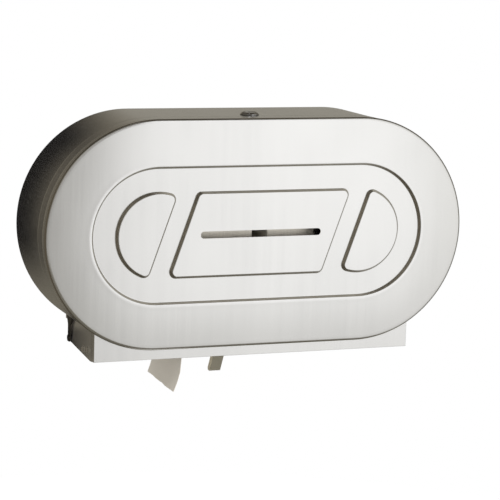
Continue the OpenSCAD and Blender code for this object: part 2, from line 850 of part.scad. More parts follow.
module tear_strips() {
  color(bright_steel) on_wall() {
    translate([panel_x0, 0, 0]) tear_strip();
    translate([panel_x1, 0, 0]) mirror([1, 0, 0]) tear_strip();
  }
}

module tab_rivet_places() {
  for (x = tab_rivet_x) translate([x, 0, tab_rivet_z]) children();
}

module access_panel() {
  color(satin_steel) on_wall() difference() {
    slab([panel_x0 + tooth_h, panel_x1 - tooth_h], [panel_y, panel_top_y], [panel_rear_z, panel_front_z]);
    tab_rivet_places() rod_y(tab_rivet_r + run_gap, 0, 0, [panel_y - over, panel_top_y + over]);
  }
}

// Folded channel: a foot under the panel, a leaning web in front and two folded sides
module pull_tab() {
  back = tab_drop * tan(tab_lean);
  low_y = panel_y - tab_drop;
  web_z = tab_t / cos(tab_lean);
  color(dull_steel) on_wall() difference() {
    union() {
      slab([tab_x0, tab_x1], [panel_y - tab_t, panel_y], [tab_top_z - tab_foot_l, tab_top_z]);
      plate_x([
        [panel_y, tab_top_z],
        [low_y, tab_top_z - back],
        [low_y, tab_top_z - back - web_z],
        [panel_y, tab_top_z - web_z]
      ], [tab_x0, tab_x1]);
      for (x = [tab_x0, tab_x1 - tab_t])
        plate_x([
          [panel_y, tab_top_z],
          [low_y, tab_top_z - back],
          [low_y, tab_top_z - back - tab_depth + tab_chamfer],
          [low_y + tab_chamfer, tab_top_z - back - tab_depth + tab_chamfer * tan(tab_lean)],
          [panel_y, tab_top_z - tab_depth]
        ], [x, x + tab_t]);
    }
    tab_rivet_places() rod_y(tab_rivet_r + run_gap, 0, 0, [panel_y - tab_t - over, panel_y + over]);
  }
}

module tab_rivet_end() {
  cylinder(r1 = tab_rivet_head[0], r2 = tab_rivet_head[1], h = tab_rivet_head[2]);
}

module tab_rivets() {
  color(bright_steel) on_wall() tab_rivet_places() {
    rod_y(tab_rivet_r, 0, 0, [panel_y - tab_t - eps, panel_top_y + eps]);
    translate([0, panel_y - tab_t, 0]) rotate([90, 0, 0]) tab_rivet_end();
    translate([0, panel_top_y, 0]) rotate([-90, 0, 0]) tab_rivet_end();
  }
}

// ---- Spindles ----

module spindle_screw_places() {
  for (i = [0:spindle_screws_n - 1])
    rotate([0, 0, screw_a0 + i * 360 / spindle_screws_n]) translate([spindle_screw_ring_r, 0, 0]) children();
}

// Moulded base: flange, boss and three gussets between the screws
module spindle_base(side) {
  flange_z = base_t + spindle_base_t;
  color(black_plastic) on_wall() translate([side * spindle_x, 0, 0]) difference() {
    union() {
      rod_z(spindle_base_r, 0, 0, [base_t, flange_z]);
      rod_z(boss_r, 0, 0, [base_t, boss_out]);
      for (i = [0:spindle_screws_n - 1])
        rotate([0, 0, screw_a0 + (i + 0.5) * 360 / spindle_screws_n]) translate([0, gusset_t / 2, 0])
          rotate([90, 0, 0]) linear_extrude(gusset_t) polygon([
            [boss_r - gusset_root, flange_z - gusset_root],
            [spindle_base_r - gusset_root, flange_z - gusset_root],
            [spindle_base_r - gusset_root, flange_z + eps],
            [boss_r - gusset_root / 2, boss_out - gusset_root / 2],
            [boss_r - gusset_root, boss_out - gusset_root / 2]
          ]);
    }
    rod_z(post_r + run_gap, 0, 0, [0, boss_out + over]);
    spindle_screw_places() rod_z(spindle_screw_r + run_gap, 0, 0, [0, flange_z + over]);
  }
}

module spindle_base_left() {
  spindle_base(left);
}

module spindle_base_right() {
  spindle_base(right);
}

module spindle_screws() {
  head_z = base_t + spindle_base_t;
  color(bright_steel) on_wall() for (side = [left, right])
    translate([side * spindle_x, 0, 0]) spindle_screw_places() difference() {
      union() {
        rod_z(spindle_screw_r, 0, 0, [shank_short, head_z + eps]);
        rod_z(spindle_screw_head_r, 0, 0, [head_z, head_z + spindle_screw_head_h]);
      }
      for (a = [0, 90])
        rotate([0, 0, a])
          slab([-screw_cross[0] / 2, screw_cross[0] / 2], [-screw_cross[1] / 2, screw_cross[1] / 2],
            [head_z + spindle_screw_head_h - screw_cross[2], head_z + spindle_screw_head_h + over]);
    }
}

// Steel post with a tenon through the back plate and a bevelled front end
module spindle_post(side) {
  color(bright_steel) on_wall() translate([side * spindle_x, 0, 0]) rotate_extrude() polygon([
    [0, shank_short],
    [post_tenon_r, shank_short],
    [post_tenon_r, base_t],
    [post_r, base_t],
    [post_r, post_out - post_bevel],
    [post_r - post_bevel, post_out],
    [0, post_out]
  ]);
}

module spindle_post_left() {
  spindle_post(left);
}

module spindle_post_right() {
  spindle_post(right);
}

// Push-on caps that keep the hubs on their posts
module spindle_caps() {
  inside_z = post_out + seat_gap;
  top_z = inside_z + cap_cover_t;
  color(black_plastic) on_wall() for (side = [left, right])
    translate([side * spindle_x, 0, 0]) rotate_extrude() polygon(concat(
      [[0, inside_z], [post_r + run_gap, inside_z], [post_r + run_gap, cap_z0], [cap_r, cap_z0]],
      arc(cap_r - cap_bend_r, top_z - cap_bend_r, cap_bend_r, 0, 90, 4),
      [[0, top_z]]
    ));
}

// Moulded hub: rear flange, sleeve for the core, inner tube on the post and ribs between
module core_hub(side) {
  color(black_plastic) on_wall() translate([side * spindle_x, 0, 0]) {
    ring_z(hub_in_r, hub_in_r + hub_in_wall, [hub_z0, hub_z1]);
    rotate_extrude() polygon([
      [hub_bore_r, hub_z0],
      [hub_flange_r, hub_z0],
      [hub_flange_r, hub_z0 + hub_flange_t],
      [hub_r, hub_z0 + hub_flange_t],
      [hub_r, hub_z1],
      [hub_bore_r, hub_z1]
    ]);
    for (i = [0:hub_ribs - 1])
      rotate([0, 0, (i + 0.5) * 360 / hub_ribs])
        slab([hub_in_r + hub_in_wall / 2, hub_bore_r + hub_wall / 2], [-hub_rib_t / 2, hub_rib_t / 2],
          [hub_z0 + 1, hub_z1 - disc_spigot_l - 1]);
  }
}

module core_hub_left() {
  core_hub(left);
}

module core_hub_right() {
  core_hub(right);
}

// Front disc of a hub, with a spigot that pushes into the sleeve and three finger holes
module hub_disc(side) {
  spigot_r = hub_bore_r - seat_gap;
  color(black_plastic) on_wall() translate([side * spindle_x, 0, 0]) difference() {
    union() {
      rod_z(disc_r, 0, 0, [disc_z0, disc_z1]);
      ring_z(spigot_r - disc_spigot_wall, spigot_r, [disc_z0 - disc_spigot_l, disc_z0 + eps]);
    }
    rod_z(hub_in_r + seat_gap, 0, 0, [disc_z0 - over, disc_z1 + over]);
    for (i = [0:disc_holes - 1])
      rotate([0, 0, i * 360 / disc_holes])
        rod_z(disc_hole_r, disc_hole_ring_r, 0, [disc_z0 - over, disc_z1 + over]);
  }
}

module hub_disc_left() {
  hub_disc(left);
}

module hub_disc_right() {
  hub_disc(right);
}

// ---- Tissue ----

module core_tube(side) {
  color(card_brown) on_wall() translate([side * spindle_x, 0, 0])
    ring_z(core_r, core_r + core_wall, [tissue_z0, tissue_z1]);
}

module core_tube_left() {
  core_tube(left);
}

module core_tube_right() {
  core_tube(right);
}

module tissue_roll_left() {
  color(tissue_white) on_wall() translate([-spindle_x, 0, 0])
    ring_z(tissue_in_r, left_roll_r, [tissue_z0, tissue_z1]);
}

module tissue_roll_right() {
  color(tissue_white) on_wall() translate([spindle_x, 0, 0])
    ring_z(tissue_in_r, right_roll_r, [tissue_z0, tissue_z1]);
}

// Middle line of the tail: off the roll, over the panel's edge and down in a slack curl
tail_path = concat(
  [[-spindle_x + tail_reach * cos(tail_off_a), tail_reach * sin(tail_off_a)]],
  [for (i = [0:curl_steps])
    let (a = tail_end_a * i / curl_steps)
    [tail_x - curl_r * (1 - cos(a)), tail_y - curl_r * sin(a)]]
);

// Direction square to a path at point i
function path_side(path, i) =
  let (
    last = len(path) - 1,
    step = path[min(i + 1, last)] - path[max(i - 1, 0)]
  )
  [-step[1], step[0]] / norm(step);

module tissue_tail() {
  last = len(tail_path) - 1;
  color(tissue_white) on_wall() difference() {
    translate([0, 0, tissue_z0]) linear_extrude(tissue_z1 - tissue_z0) polygon(concat(
      [for (i = [0:last]) tail_path[i] + path_side(tail_path, i) * tail_t / 2],
      [for (i = [last:-1:0]) tail_path[i] - path_side(tail_path, i) * tail_t / 2]
    ));
    // slanted torn end
    plate_x([
      [panel_y - tail_rear_drop, tissue_z0 - over],
      [panel_y - tail_rear_drop, tissue_z0],
      [panel_y - tail_front_drop, tissue_z1],
      [panel_y - tail_front_drop, tissue_z1 + over],
      [panel_y - 2 * tail_front_drop, tissue_z1 + over],
      [panel_y - 2 * tail_front_drop, tissue_z0 - over]
    ], [tail_x - curl_r, tail_x + over]);
  }
}

back_plate();
chute_side_left();
chute_side_right();
chute_apron();
front_rail();
rear_rail();
stop_blocks();
stop_rivets();
chute_rivets();
keeper_bracket();
keeper_rivets();
spindle_base_left();
spindle_base_right();
spindle_screws();
spindle_post_left();
spindle_post_right();
spindle_caps();
hinge_pins();
hinge_washers();
hinge_clips();
tissue_tail();
cover();
hinge_arm_left();
hinge_arm_right();
lock_housing();
lock_nut();
lock_plug();
lock_cam();
cam_screw();
core_hub_left();
hub_disc_left();
core_tube_left();
tissue_roll_left();
core_hub_right();
hub_disc_right();
core_tube_right();
tissue_roll_right();
access_panel();
tear_strips();
pull_tab();
tab_rivets();
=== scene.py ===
"""Looks of a twin jumbo-roll tissue dispenser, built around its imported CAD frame.

Pieces are drawn in millimetres on the part's own drawing axes: x runs along the wall, y runs
up the wall and out runs out from the wall. at() turns a drawn point into Blender's metres.
"""

import json
import math

import bmesh
import bpy
from mathutils import Matrix, Vector, noise

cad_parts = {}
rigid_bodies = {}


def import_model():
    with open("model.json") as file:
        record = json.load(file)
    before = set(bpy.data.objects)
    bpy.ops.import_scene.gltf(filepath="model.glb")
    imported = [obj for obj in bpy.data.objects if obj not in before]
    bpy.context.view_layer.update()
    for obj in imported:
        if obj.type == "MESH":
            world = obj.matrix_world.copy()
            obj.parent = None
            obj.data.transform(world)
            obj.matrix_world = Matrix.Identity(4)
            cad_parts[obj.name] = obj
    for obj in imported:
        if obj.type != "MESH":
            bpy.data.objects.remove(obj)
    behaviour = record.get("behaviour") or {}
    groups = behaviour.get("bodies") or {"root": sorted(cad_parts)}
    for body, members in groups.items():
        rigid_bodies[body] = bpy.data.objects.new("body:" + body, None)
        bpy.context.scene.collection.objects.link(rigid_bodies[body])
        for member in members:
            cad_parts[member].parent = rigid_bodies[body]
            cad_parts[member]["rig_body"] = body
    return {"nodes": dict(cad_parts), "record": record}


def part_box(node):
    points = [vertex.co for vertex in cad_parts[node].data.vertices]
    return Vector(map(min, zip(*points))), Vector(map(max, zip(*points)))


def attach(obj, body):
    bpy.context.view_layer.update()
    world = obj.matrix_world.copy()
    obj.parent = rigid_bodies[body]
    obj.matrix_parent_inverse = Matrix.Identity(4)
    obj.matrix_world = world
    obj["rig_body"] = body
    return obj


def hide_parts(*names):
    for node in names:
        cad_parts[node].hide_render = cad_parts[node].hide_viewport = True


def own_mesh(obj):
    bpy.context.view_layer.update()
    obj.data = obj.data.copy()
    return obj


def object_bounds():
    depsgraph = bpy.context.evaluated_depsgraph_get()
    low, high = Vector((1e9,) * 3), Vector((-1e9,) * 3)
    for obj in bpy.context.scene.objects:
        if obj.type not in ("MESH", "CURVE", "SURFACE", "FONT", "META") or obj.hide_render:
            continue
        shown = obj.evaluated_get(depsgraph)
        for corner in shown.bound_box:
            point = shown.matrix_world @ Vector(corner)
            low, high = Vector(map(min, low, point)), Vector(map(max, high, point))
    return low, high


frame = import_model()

MM = 0.001
nodes = frame["nodes"]
slot_of = {part["node"]: part["material_slot"] for part in frame["record"]["subparts"]}
body_of = {name: node["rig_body"] for name, node in nodes.items()}


def box_lists():
    return [[float(v) for v in corner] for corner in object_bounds()]


cad_box = box_lists()


# ---- Drawing axes ----

def at(x, y, out):
    """A drawn point in Blender's metres."""
    return Vector((x, -out, y)) * MM


def drawn(node):
    """A CAD node's lowest and highest x, y and out, in drawn millimetres."""
    low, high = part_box(node)
    return (
        (low.x / MM, low.z / MM, -high.y / MM),
        (high.x / MM, high.z / MM, -low.y / MM),
    )


# ---- Camera, solved from the photograph's outlines ----

IMAGE_SIZE = 500
FOCAL_PX = 2061.63
SENSOR_MM = 36.0
CAMERA_AZIMUTH = math.radians(-21.25)
CAMERA_ELEVATION = math.radians(9.54)
CAMERA_ROLL = math.radians(1.69)
CAMERA_OFFSET = (35.02, -42.26, 2574.97)  # right, up and back from the origin, in mm
CLIP_END_M = 20


def add_camera():
    sin_a, cos_a = math.sin(CAMERA_AZIMUTH), math.cos(CAMERA_AZIMUTH)
    sin_e, cos_e = math.sin(CAMERA_ELEVATION), math.cos(CAMERA_ELEVATION)
    sin_r, cos_r = math.sin(CAMERA_ROLL), math.cos(CAMERA_ROLL)
    level_right = Vector((cos_a, sin_a, 0))
    back = Vector((sin_a * cos_e, -cos_a * cos_e, sin_e))
    level_up = back.cross(level_right)
    right = cos_r * level_right + sin_r * level_up
    up = cos_r * level_up - sin_r * level_right
    axes = (right, up, back)
    camera = bpy.data.objects.new("camera", bpy.data.cameras.new("camera"))
    bpy.context.scene.collection.objects.link(camera)
    placed = Matrix([[axis[i] for axis in axes] for i in range(3)]).to_4x4()
    moves = (axis * step for axis, step in zip(axes, CAMERA_OFFSET))
    placed.translation = sum(moves, Vector()) * MM
    camera.matrix_world = placed
    camera.data.sensor_width = SENSOR_MM
    camera.data.lens = FOCAL_PX / IMAGE_SIZE * SENSOR_MM
    camera.data.clip_end = CLIP_END_M
    bpy.context.scene.camera = camera


add_camera()


# ---- Sizes, read from the frame where a node shows them ----

cover_low, cover_high = drawn("cover")
COVER_R = cover_high[1]
END_X = cover_high[0] - COVER_R  # middle of the obround's right end
FIELD_TOP = cover_high[2]
SKIRT_REAR = cover_low[2]
SHEET = 1.0

# the face: a pressed ring round a sunk floor, and three raised fields on that floor
FIELD_RISE = 1.0
FACE_OUT = FIELD_TOP - FIELD_RISE
RING_R = 81.5
RING_WALL = 2.1
RING_LIP = (2.2, 0.2)  # width and drop of the ring's soft outer edge
RING_TOE = 2.0
RING_FLOOR = FACE_OUT - 3.5
PRESS_R = 1.1
PRESS_STEPS = 5
FIELD_WALL = 2.5
FIELD_TOE = 1.6
FIELD_CORNER_R = 7.0
FIELD_SLANT = math.radians(19.4)
MIDDLE_W = 194.0
MIDDLE_H = 100.0
MOON_R = 51.0
GROOVE_W = 25.7
SLOT_W = 153.0
SLOT_H = 8.4

# the crown: from the ring's lip the face falls towards the rim, faster as it goes
CROWN = 2.35
CROWN_RISE = 0.43
CROWN_SLOPE = 0.55
CROWN_BEND = 0.45
CROWN_STEPS = (0.08, 0.18, 0.28, 0.38, 0.48, 0.58, 0.68, 0.78, 0.88)  # shares of its width

# the rim: a round that stands proud of the skirt, and the small step behind it
RIM_R = 4.2
RIM_OUT = FACE_OUT + CROWN * (CROWN_RISE - 1)
ROLLED_EDGE = 0.8
ROLL_END = RIM_OUT - RIM_R - 0.9
ROLL_STEP = 1.0
STEP_R = 0.6
PAINTED_SHADE_RIM = 0.34  # share of the rim's radius, from its outside, that takes the darker steel of painted shade

# the skirt: two fine beads, and a cut that leaves room for the chute
BEADS = (118.5, 98.5)
BEAD_H = 0.22
BEAD_W = 1.7
SKIRT_MIDDLE = 60.0
LIP_OUT = drawn("chute_apron")[1][2] + 2.0
CUT_X = drawn("hinge_arm_right")[0][0] + 2.5
NEAR = 0.01  # two drawn lengths this close are the same


# ---- Node materials ----

class Shader:
    """A new material whose Principled shader is fed by nodes."""

    def __init__(self, name):
        self.material = bpy.data.materials.new(name)
        self.material.use_nodes = True
        self.tree = self.material.node_tree
        self.principled = self.tree.nodes["Principled BSDF"]

    def add(self, kind, **settings):
        node = self.tree.nodes.new(kind)
        for name, value in settings.items():
            setattr(node, name, value)
        return node

    def put(self, node, values):
        """Sets sockets: a socket is linked, anything else is a constant."""
        for name, value in values.items():
            if isinstance(value, bpy.types.NodeSocket):
                self.tree.links.new(value, node.inputs[name])
            else:
                node.inputs[name].default_value = value
        return node

    def places(self, scale):
        """Object coordinates, in metres, times scale."""
        source = self.add("ShaderNodeTexCoord")
        mapping = self.add("ShaderNodeMapping")
        self.put(mapping, {"Vector": source.outputs["Object"], "Scale": scale})
        return mapping.outputs["Vector"]

    def noise(self, places, detail=3.0, roughness=0.5):
        node = self.add("ShaderNodeTexNoise")
        self.put(node, {
            "Vector": places, "Scale": 1.0, "Detail": detail, "Roughness": roughness,
        })
        return node.outputs["Fac"]

    def between(self, value, low, high, span=(0.0, 1.0)):
        """Maps value from span to low..high."""
        node = self.add("ShaderNodeMapRange")
        self.put(node, {
            "Value": value, "From Min": span[0], "From Max": span[1],
            "To Min": low, "To Max": high,
        })
        return node.outputs["Result"]

    def mix(self, factor, first, second):
        """Mixes two colours, through the node's colour sockets A, B and Result."""
        node = self.add("ShaderNodeMix", data_type="RGBA")
        self.tree.links.new(factor, node.inputs["Factor"])
        for socket, value in ((node.inputs[6], first), (node.inputs[7], second)):
            if isinstance(value, bpy.types.NodeSocket):
                self.tree.links.new(value, socket)
            else:
                socket.default_value = (*value, 1.0)
        return node.outputs[2]

    def math(self, operation, first, second):
        node = self.add("ShaderNodeMath", operation=operation)
        for socket, value in zip(node.inputs, (first, second)):
            if isinstance(value, bpy.types.NodeSocket):
                self.tree.links.new(value, socket)
            else:
                socket.default_value = value
        return node.outputs[0]

    def bump(self, height, distance, strength, under=None):
        node = self.add("ShaderNodeBump")
        self.put(node, {"Height": height, "Distance": distance, "Strength": strength})
        if under is not None:
            self.tree.links.new(under, node.inputs["Normal"])
        return node.outputs["Normal"]

    def finish(self, **values):
        """Sets the Principled shader's inputs, named with _ for a space."""
        named = {name.replace("_", " "): value for name, value in values.items()}
        self.put(self.principled, named)
        return self.material


def tinted(colour, factor):
    return tuple(channel * factor for channel in colour)


NOISE_SPAN = (0.3, 0.7)  # where nearly all of a noise's values lie
GRAIN_TO_BAND = 18


def brushed(name, colour, roughness, grain):
    """Brushed sheet steel. grain is the noise frequency along each axis, low along the grain."""
    s = Shader(name)
    fine = s.noise(s.places(grain), detail=4.0, roughness=0.65)
    clouds = s.noise(s.places((9, 9, 7)), detail=2.0)
    wide = [max(1.0, g / GRAIN_TO_BAND) for g in grain]
    bands = s.noise(s.places(wide), detail=3.0, roughness=0.6)
    lines = s.math(
        "ADD", s.between(fine, 0.0, 0.55, NOISE_SPAN), s.between(bands, 0.0, 0.45, NOISE_SPAN),
    )
    streaks = s.mix(lines, tinted(colour, 0.90), tinted(colour, 1.01))
    surface = s.mix(s.between(clouds, 0.0, 1.0, (0.35, 0.7)), streaks, tinted(colour, 1.02))
    rough = s.math(
        "ADD", s.between(fine, -0.05, 0.05),
        s.between(clouds, roughness - 0.02, roughness + 0.02),
    )
    return s.finish(
        Base_Color=surface, Metallic=1.0, Roughness=rough,
        Normal=s.bump(fine, distance=0.00002, strength=0.35),
    )


def polished(name, colour, roughness):
    s = Shader(name)
    smudges = s.noise(s.places((300, 300, 300)), detail=3.0)
    return s.finish(
        Base_Color=s.mix(smudges, tinted(colour, 0.96), colour), Metallic=1.0,
        Roughness=s.between(smudges, roughness * 0.7, roughness * 1.5),
    )


def moulded(name, colour, roughness, grain_m=0.00002):
    s = Shader(name)
    grain = s.noise(s.places((2200, 2200, 2200)), detail=2.0)
    patches = s.noise(s.places((40, 40, 40)), detail=2.0)
    return s.finish(
        Base_Color=s.mix(patches, tinted(colour, 0.85), tinted(colour, 1.15)),
        Roughness=s.between(grain, roughness - 0.06, roughness + 0.08),
        Normal=s.bump(grain, distance=grain_m, strength=0.6),
    )


LAYERS_PER_M = 900.0


def paper(name, colour, centre_x=None):
    """Soft tissue: fibres, and faint dots or, round a roll's centre x, its layers' edges."""
    s = Shader(name)
    fibres = s.noise(s.places((900, 900, 900)), detail=4.0, roughness=0.7)
    shade = s.mix(s.between(fibres, 0.0, 1.0, NOISE_SPAN), tinted(colour, 0.93), colour)
    normal = s.bump(fibres, distance=0.00012, strength=0.5)
    if centre_x is None:
        dots = s.add("ShaderNodeTexVoronoi", feature="SMOOTH_F1")
        s.put(dots, {"Vector": s.places((1, 1, 1)), "Scale": 260.0})
        normal = s.bump(dots.outputs["Distance"], distance=0.00015, strength=0.4, under=normal)
    else:
        source = s.add("ShaderNodeTexCoord")
        offset = s.add("ShaderNodeVectorMath", operation="MULTIPLY_ADD")
        s.tree.links.new(source.outputs["Object"], offset.inputs[0])
        offset.inputs[1].default_value = (1, 0, 1)
        offset.inputs[2].default_value = (-centre_x * MM, 0, 0)
        radius = s.add("ShaderNodeVectorMath", operation="LENGTH")
        s.tree.links.new(offset.outputs[0], radius.inputs[0])
        layers = s.add("ShaderNodeTexNoise", noise_dimensions="1D")
        s.put(layers, {
            "W": s.math("MULTIPLY", radius.outputs["Value"], LAYERS_PER_M),
            "Scale": 1.0, "Detail": 3.0,
        })
        shade = s.mix(s.between(layers.outputs["Fac"], 0.0, 1.0, (0.35, 0.65)),
                      tinted(colour, 0.84), shade)
        normal = s.bump(layers.outputs["Fac"], distance=0.0003, strength=0.6, under=normal)
    return s.finish(Base_Color=shade, Roughness=0.92, Normal=normal)


def cardboard(name, colour):
    s = Shader(name)
    fibres = s.noise(s.places((500, 120, 500)), detail=5.0, roughness=0.7)
    blend = s.between(fibres, 0.0, 1.0, NOISE_SPAN)
    return s.finish(
        Base_Color=s.mix(blend, tinted(colour, 0.8), tinted(colour, 1.15)),
        Roughness=0.88, Normal=s.bump(fibres, distance=0.0001, strength=0.5),
    )


STEEL = (0.915, 0.91, 0.895)
PLAIN = (0.46, 0.45, 0.425)
UPRIGHT = (1500, 30, 8)
DEPTHWAYS = (30, 8, 1500)

# one finish for each material slot that shows, and below it those of single pieces
finishes = {
    "satin_steel": brushed("satin_steel", STEEL, 0.30, UPRIGHT),
    "plain_steel": brushed("plain_steel", PLAIN, 0.36, UPRIGHT),
    "bright_steel": polished("bright_steel", (0.80, 0.80, 0.79), 0.09),
    "zinc_steel": polished("zinc_steel", (0.66, 0.66, 0.64), 0.24),
    "black_plastic": moulded("black_plastic", (0.022, 0.022, 0.022), 0.48),
    "black_rubber": moulded("black_rubber", (0.03, 0.03, 0.03), 0.72, 0.00005),
    "card": cardboard("card", (0.48, 0.36, 0.235)),
}
cover_steel = brushed("cover_steel", STEEL, 0.22, UPRIGHT)
# painted shade: a darker brown steel on the walls of the ring and the fields and on the rim's
# outer part, for the dark lines that shade draws there
shade_painted_steel = brushed("shade_painted_steel", (0.46, 0.43, 0.37), 0.30, UPRIGHT)
side_steel = brushed("side_steel", STEEL, 0.30, DEPTHWAYS)
apron_steel = brushed("apron_steel", tinted(STEEL, 0.96), 0.22, UPRIGHT)
tab_steel = brushed("tab_steel", (0.95, 0.915, 0.80), 0.46, UPRIGHT)
plate_steel = brushed("plate_steel", (0.60, 0.595, 0.57), 0.38, UPRIGHT)
# painted shade: near-black steel that keeps the hinge arms as dark as the shaded side they sit on
arm_shade_painted_steel = brushed("arm_shade_painted_steel", (0.09, 0.085, 0.075), 0.42, UPRIGHT)
# painted shade: dark steel that keeps the hinge pins and clips as dark as the shaded side
pin_shade_painted_steel = polished("pin_shade_painted_steel", (0.16, 0.15, 0.13), 0.30)
tail_tissue = paper("tail_tissue", (0.94, 0.885, 0.79))
# painted shadow: near-black steel for the lock head's ring round the plug and the line at its
# foot
painted_shadow_steel = polished("painted_shadow_steel", (0.03, 0.027, 0.022), 0.35)
ROLL_PAPER = (0.90, 0.855, 0.765)


# ---- Mesh helpers ----

X_AXIS, Y_AXIS, Z_AXIS = Vector((1, 0, 0)), Vector((0, 1, 0)), Vector((0, 0, 1))
WELD_M = 1e-6
FACE_WEIGHT = 80


def arc(cx, cy, r, a0, a1, steps):
    """Points of an arc, its angles in degrees."""
    angles = [math.radians(a0 + (a1 - a0) * i / steps) for i in range(steps + 1)]
    return [(cx + r * math.cos(a), cy + r * math.sin(a)) for a in angles]


def rounded(points, radii, steps):
    """An open line of 2D points, each inner one rounded by its radius, or sharp for 0."""
    line = [Vector(points[0])]
    for before, corner, after, r in zip(points, points[1:], points[2:], radii):
        before, corner, after = Vector(before), Vector(corner), Vector(after)
        back, ahead = (before - corner).normalized(), (after - corner).normalized()
        turn = math.pi - back.angle(ahead)
        if not r:
            line.append(corner)
            continue
        reach = r * math.tan(turn / 2)
        middle = corner + (back + ahead).normalized() * r / math.cos(turn / 2)
        start, end = corner + back * reach - middle, corner + ahead * reach - middle
        for i in range(steps + 1):
            t = i / steps
            blend = (start * math.sin((1 - t) * turn) + end * math.sin(t * turn)) / math.sin(turn)
            line.append(middle + blend)
    line.append(Vector(points[-1]))
    return [tuple(p) for p in line]


def loop_of(bm, points, out):
    return [bm.verts.new(at(x, y, out)) for x, y in points]


def bridge(bm, first, second, material=0):
    """Quads between two closed loops of as many points."""
    for i in range(len(first)):
        j = (i + 1) % len(first)
        face = bm.faces.new((first[i], first[j], second[j], second[i]))
        face.material_index = material


def fill(bm, *loops):
    """Fills the flat space between an outer loop and the loops inside it."""
    edges = []
    for loop in loops:
        for i, vert in enumerate(loop):
            pair = (vert, loop[(i + 1) % len(loop)])
            edges.append(bm.edges.get(pair) or bm.edges.new(pair))
    bmesh.ops.triangle_fill(bm, use_beauty=True, edges=edges)


def lathe(bm, profile, centre, along, across, turns):
    """Turns (radius, height) points round an axis through centre. across spans the circle."""
    loops = []
    for r, h in profile:
        loop = []
        for i in range(turns):
            a = 2 * math.pi * i / turns
            spot = centre + along * h + (across[0] * math.cos(a) + across[1] * math.sin(a)) * r
            loop.append(bm.verts.new(spot * MM))
        loops.append(loop)
    for first, second in zip(loops, loops[1:]):
        bridge(bm, first, second)
    bmesh.ops.remove_doubles(bm, verts=bm.verts, dist=WELD_M)
    bmesh.ops.recalc_face_normals(bm, faces=bm.faces)


def piece(name, bm, body, material, node, smooth_angle):
    """Turns a bmesh into a piece that rides on a body and stands for a CAD node."""
    mesh = bpy.data.meshes.new(name)
    bm.to_mesh(mesh)
    bm.free()
    obj = bpy.data.objects.new(name, mesh)
    bpy.context.scene.collection.objects.link(obj)
    mesh.materials.append(material)
    smooth(mesh, smooth_angle)
    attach(obj, body)
    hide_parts(node)
    return obj


def smooth(mesh, angle):
    """Shades a mesh smooth, apart from edges sharper than angle, in degrees."""
    mesh.polygons.foreach_set("use_smooth", [True] * len(mesh.polygons))
    mesh.set_sharp_from_angle(angle=math.radians(angle))


def apply_modifiers(obj, smooth_angle):
    graph = bpy.context.evaluated_depsgraph_get()
    mesh = bpy.data.meshes.new_from_object(obj.evaluated_get(graph))
    obj.modifiers.clear()
    obj.data = mesh
    smooth(mesh, smooth_angle)


def even_normals(obj):
    """Lets the large flat faces set the normals of the small ones beside them."""
    modifier = obj.modifiers.new("weighted", "WEIGHTED_NORMAL")
    modifier.keep_sharp = True
    modifier.weight = FACE_WEIGHT


# ---- Cover: one pressed sheet ----

CAP_STEPS = 72
STRAIGHT_STEPS = 24


def stations():
    """Points of the obround path's middle line with their outward normals."""
    cut = math.degrees(math.acos((CUT_X - END_X) / COVER_R))
    cap = sorted({-90 + 180 / CAP_STEPS * i for i in range(CAP_STEPS + 1)} | {-cut})
    straight = [END_X * (1 - i / (STRAIGHT_STEPS / 2)) for i in range(1, STRAIGHT_STEPS)]
    path = [(END_X, a) for a in cap]
    path += [(x, 90.0) for x in straight]
    path += [(-END_X, 180 - a) for a in reversed(cap)]
    path += [(-x, 270.0) for x in straight]
    return [(x, math.cos(math.radians(a)), math.sin(math.radians(a))) for x, a in path]


def crown_point(t):
    """The crowned face from the ring's edge, t = 0, to the rim, t = 1."""
    fall = CROWN_SLOPE * t + CROWN_BEND * t * t
    return RING_R + (COVER_R - RING_R) * t, FACE_OUT + CROWN * (CROWN_RISE - fall)


def skirt_line():
    """The cover's section from the ring's floor out to the rim and back to the wall."""
    crest = FACE_OUT + CROWN_RISE * CROWN
    corners = [
        (RING_R - RING_WALL - RING_TOE, RING_FLOOR),
        (RING_R - RING_WALL, RING_FLOOR),
        (RING_R, crest - RING_LIP[1]),
        (RING_R + RING_LIP[0], crest),
        *[crown_point(t) for t in CROWN_STEPS],
        (COVER_R + ROLLED_EDGE, RIM_OUT),
        (COVER_R + ROLLED_EDGE, ROLL_END),
        (COVER_R, ROLL_END - ROLL_STEP),
        (COVER_R, LIP_OUT),
    ]
    radii = [PRESS_R, PRESS_R, 0] + [0] * len(CROWN_STEPS) + [RIM_R, STEP_R, STEP_R]
    line = rounded(corners, radii, steps=8)
    for middle in BEADS:
        line += [(COVER_R, middle + BEAD_W)]
        line += [(COVER_R + BEAD_H, middle + rise) for rise in (BEAD_W / 4, -BEAD_W / 4)]
        line += [(COVER_R, middle - BEAD_W)]
    return line + [(COVER_R, SKIRT_MIDDLE), (COVER_R, SKIRT_REAR)]


def middle_outline(grow):
    """The slanted middle field's outline, moved outwards by grow."""
    r = FIELD_CORNER_R + grow
    slant = math.degrees(FIELD_SLANT)
    corner_y = MIDDLE_H / 2 - FIELD_CORNER_R
    corner_x = MIDDLE_W / 2 - FIELD_CORNER_R / math.cos(FIELD_SLANT)
    lean = corner_y * math.tan(FIELD_SLANT)
    return (
        arc(corner_x - lean, -corner_y, r, -90, -slant, 10)
        + arc(corner_x + lean, corner_y, r, -slant, 90, 12)
        + arc(-corner_x + lean, corner_y, r, 90, 180 - slant, 10)
        + arc(-corner_x - lean, -corner_y, r, 180 - slant, 270, 12)
    )


